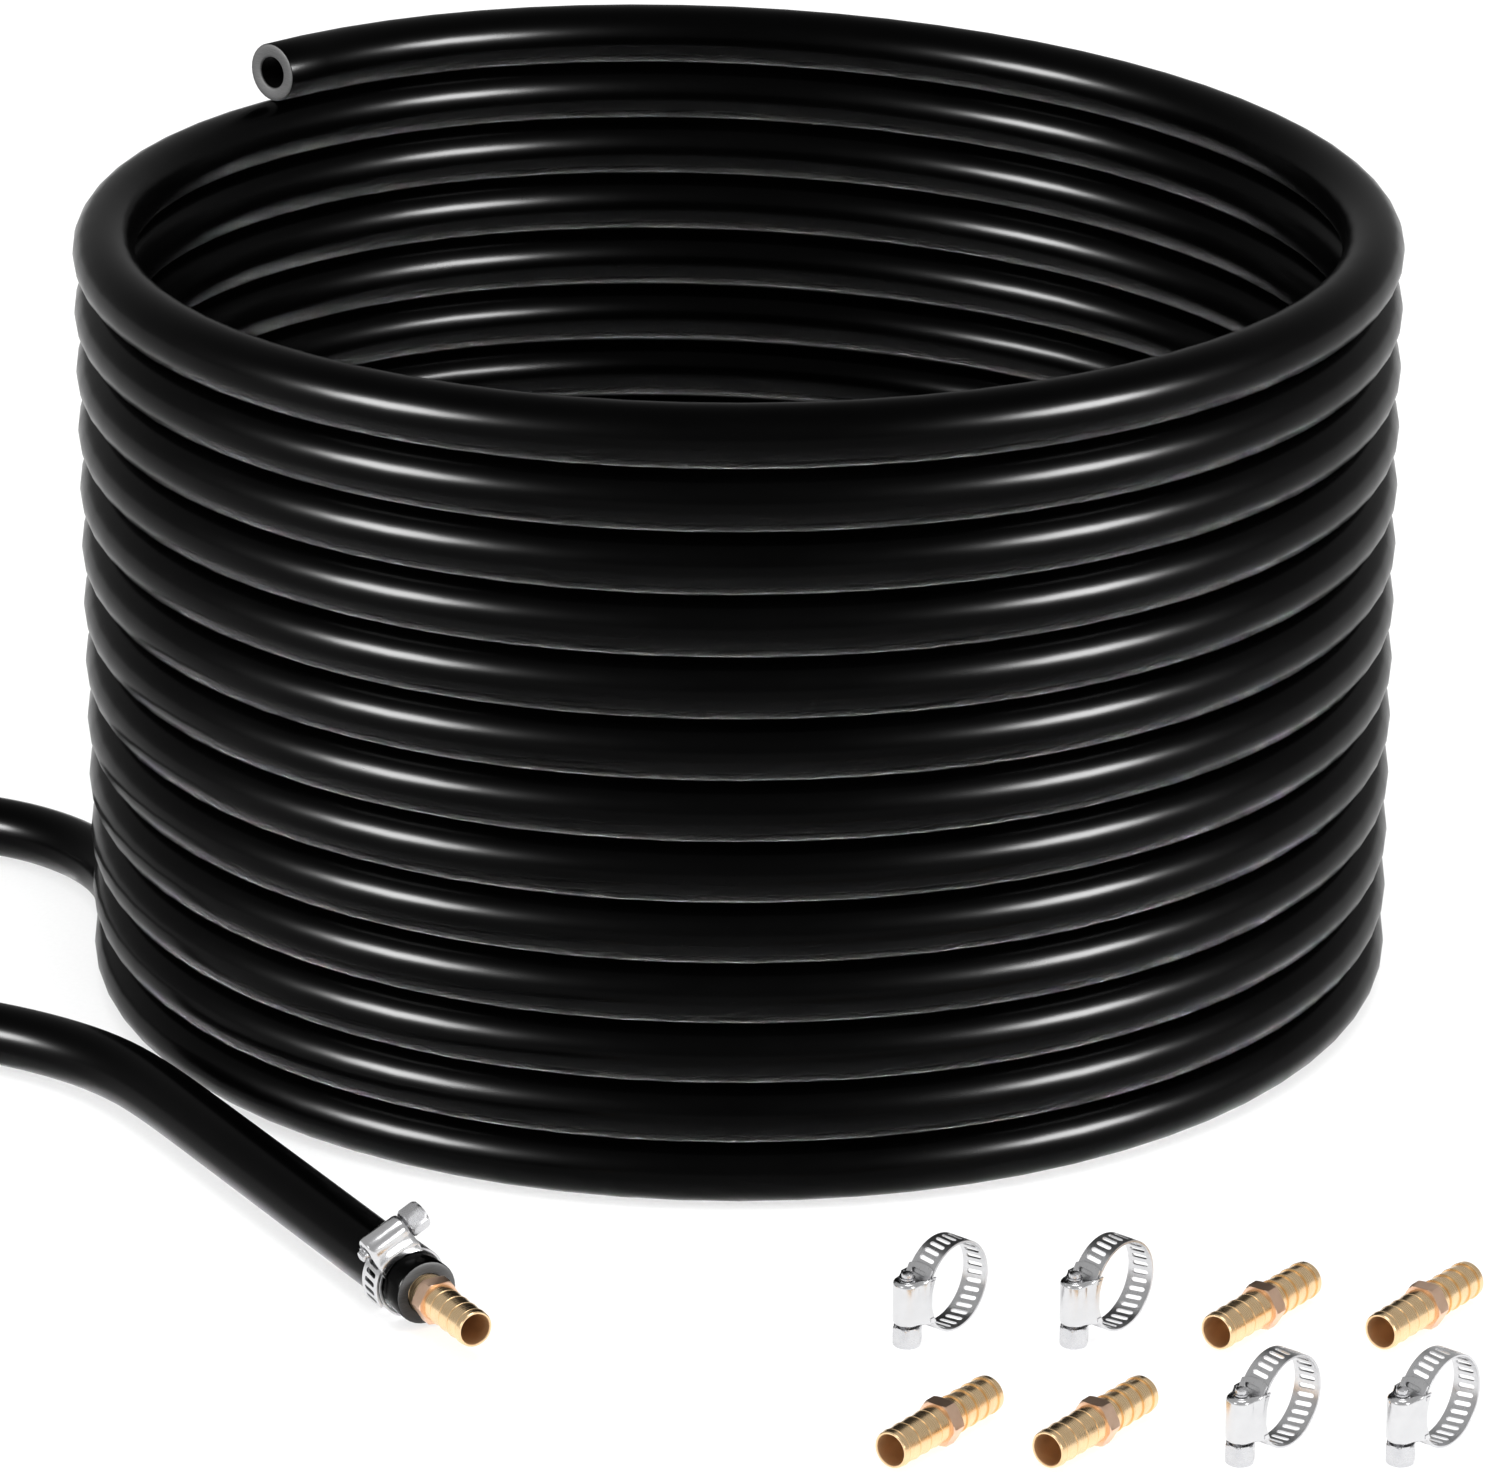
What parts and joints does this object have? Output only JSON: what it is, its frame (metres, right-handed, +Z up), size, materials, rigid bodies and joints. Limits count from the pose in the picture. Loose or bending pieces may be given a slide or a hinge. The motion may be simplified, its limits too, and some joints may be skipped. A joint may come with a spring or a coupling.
{
  "type": "rubber hose kit",
  "caption": "Coil of plain black rubber hose with worm-drive hose clamps and barbed brass splicers for joining or mending it.",
  "frame": {"origin": "centre of the whole layout's box, on the floor", "axes": "+Z up; +X to the right and +Y away from the viewer, seen from the front where the loose pieces lie"},
  "size_m": [0.5348, 0.5382, 0.2432],
  "materials": {
    "hose_rubber": "smooth, glossy black",
    "band_steel": "bright rolled strip",
    "housing_steel": "bright pressed sheet",
    "screw_steel": "bright plated",
    "splicer_brass": "machined, satin"
  },
  "bodies": {
    "hose": {"hose_coil": "hose_rubber", "hose_tail": "hose_rubber", "hose_outlet_end": "hose_rubber"},
    "clamp_fitted": {"clamp_fitted_band": "band_steel", "clamp_fitted_housing": "housing_steel"},
    "clamp_fitted_screw_body": {"clamp_fitted_screw": "screw_steel"},
    "clamp_fitted_free_end_body": {"clamp_fitted_free_end": "band_steel"},
    "splicer_fitted": {"splicer_fitted": "splicer_brass"},
    "clamp_1": {"clamp_1_band": "band_steel", "clamp_1_housing": "housing_steel"},
    "clamp_1_screw_body": {"clamp_1_screw": "screw_steel"},
    "clamp_1_free_end_body": {"clamp_1_free_end": "band_steel"},
    "clamp_2": {"clamp_2_band": "band_steel", "clamp_2_housing": "housing_steel"},
    "clamp_2_screw_body": {"clamp_2_screw": "screw_steel"},
    "clamp_2_free_end_body": {"clamp_2_free_end": "band_steel"},
    "clamp_3": {"clamp_3_band": "band_steel", "clamp_3_housing": "housing_steel"},
    "clamp_3_screw_body": {"clamp_3_screw": "screw_steel"},
    "clamp_3_free_end_body": {"clamp_3_free_end": "band_steel"},
    "clamp_4": {"clamp_4_band": "band_steel", "clamp_4_housing": "housing_steel"},
    "clamp_4_screw_body": {"clamp_4_screw": "screw_steel"},
    "clamp_4_free_end_body": {"clamp_4_free_end": "band_steel"},
    "splicer_1": {"splicer_1": "splicer_brass"},
    "splicer_2": {"splicer_2": "splicer_brass"},
    "splicer_3": {"splicer_3": "splicer_brass"},
    "splicer_4": {"splicer_4": "splicer_brass"}
  },
  "joints": [
    {"name": "clamp_fitted_slide", "type": "slide", "parent": "hose", "child": "clamp_fitted", "axis": [0.515, -0.8572, 0], "range_m": [-0.03, 0.004]},
    {"name": "clamp_fitted_screw_turn", "type": "hinge", "parent": "clamp_fitted", "child": "clamp_fitted_screw_body", "pos_m": [-0.02185, -0.1738, 0.02166], "axis": [-0.7769, -0.4668, -0.4226], "range_deg": [-1080, 0]},
    {"name": "clamp_fitted_free_end_travel", "type": "hinge", "parent": "clamp_fitted", "child": "clamp_fitted_free_end_body", "pos_m": [-0.01707, -0.17092, 0.0097], "axis": [0.515, -0.8572, 0], "range_deg": [-41, 0]},
    {"name": "splicer_fitted_pull", "type": "slide", "parent": "hose", "child": "splicer_fitted", "axis": [0.515, -0.8572, 0], "range_m": [0, 0.024]},
    {"name": "clamp_1_lift", "type": "slide", "parent": "hose", "child": "clamp_1", "axis": [0, 0, 1], "range_m": [0, 0.06]},
    {"name": "clamp_1_screw_turn", "type": "hinge", "parent": "clamp_1", "child": "clamp_1_screw_body", "pos_m": [0.11468, -0.19231, 0.0124], "axis": [0, 0, 1], "range_deg": [0, 1080]},
    {"name": "clamp_1_free_end_travel", "type": "hinge", "parent": "clamp_1", "child": "clamp_1_free_end_body", "pos_m": [0.12511, -0.18031, 0.0124], "axis": [-0.7547, 0.6561, 0], "range_deg": [0, 32]},
    {"name": "clamp_2_lift", "type": "slide", "parent": "hose", "child": "clamp_2", "axis": [0, 0, 1], "range_m": [0, 0.06]},
    {"name": "clamp_2_screw_turn", "type": "hinge", "parent": "clamp_2", "child": "clamp_2_screw_body", "pos_m": [0.15818, -0.19231, 0.0124], "axis": [0, 0, 1], "range_deg": [0, 1080]},
    {"name": "clamp_2_free_end_travel", "type": "hinge", "parent": "clamp_2", "child": "clamp_2_free_end_body", "pos_m": [0.16861, -0.18031, 0.0124], "axis": [-0.7547, 0.6561, 0], "range_deg": [0, 32]},
    {"name": "clamp_3_lift", "type": "slide", "parent": "hose", "child": "clamp_3", "axis": [0, 0, 1], "range_m": [0, 0.06]},
    {"name": "clamp_3_screw_turn", "type": "hinge", "parent": "clamp_3", "child": "clamp_3_screw_body", "pos_m": [0.19718, -0.26161, 0.0124], "axis": [0, 0, 1], "range_deg": [0, 1080]},
    {"name": "clamp_3_free_end_travel", "type": "hinge", "parent": "clamp_3", "child": "clamp_3_free_end_body", "pos_m": [0.20761, -0.24961, 0.0124], "axis": [-0.7547, 0.6561, 0], "range_deg": [0, 32]},
    {"name": "clamp_4_lift", "type": "slide", "parent": "hose", "child": "clamp_4", "axis": [0, 0, 1], "range_m": [0, 0.06]},
    {"name": "clamp_4_screw_turn", "type": "hinge", "parent": "clamp_4", "child": "clamp_4_screw_body", "pos_m": [0.23768, -0.26161, 0.0124], "axis": [0, 0, 1], "range_deg": [0, 1080]},
    {"name": "clamp_4_free_end_travel", "type": "hinge", "parent": "clamp_4", "child": "clamp_4_free_end_body", "pos_m": [0.24811, -0.24961, 0.0124], "axis": [-0.7547, 0.6561, 0], "range_deg": [0, 32]},
    {"name": "splicer_1_lift", "type": "slide", "parent": "hose", "child": "splicer_1", "axis": [0, 0, 1], "range_m": [0, 0.06]},
    {"name": "splicer_2_lift", "type": "slide", "parent": "hose", "child": "splicer_2", "axis": [0, 0, 1], "range_m": [0, 0.06]},
    {"name": "splicer_3_lift", "type": "slide", "parent": "hose", "child": "splicer_3", "axis": [0, 0, 1], "range_m": [0, 0.06]},
    {"name": "splicer_4_lift", "type": "slide", "parent": "hose", "child": "splicer_4", "axis": [0, 0, 1], "range_m": [0, 0.06]}
  ],
  "couplings": [
    {"joint": "clamp_fitted_free_end_travel", "follows": "clamp_fitted_screw_turn", "ratio": 0.036995},
    {"joint": "clamp_1_free_end_travel", "follows": "clamp_1_screw_turn", "ratio": 0.029326},
    {"joint": "clamp_2_free_end_travel", "follows": "clamp_2_screw_turn", "ratio": 0.029326},
    {"joint": "clamp_3_free_end_travel", "follows": "clamp_3_screw_turn", "ratio": 0.029326},
    {"joint": "clamp_4_free_end_travel", "follows": "clamp_4_screw_turn", "ratio": 0.029326}
  ]
}
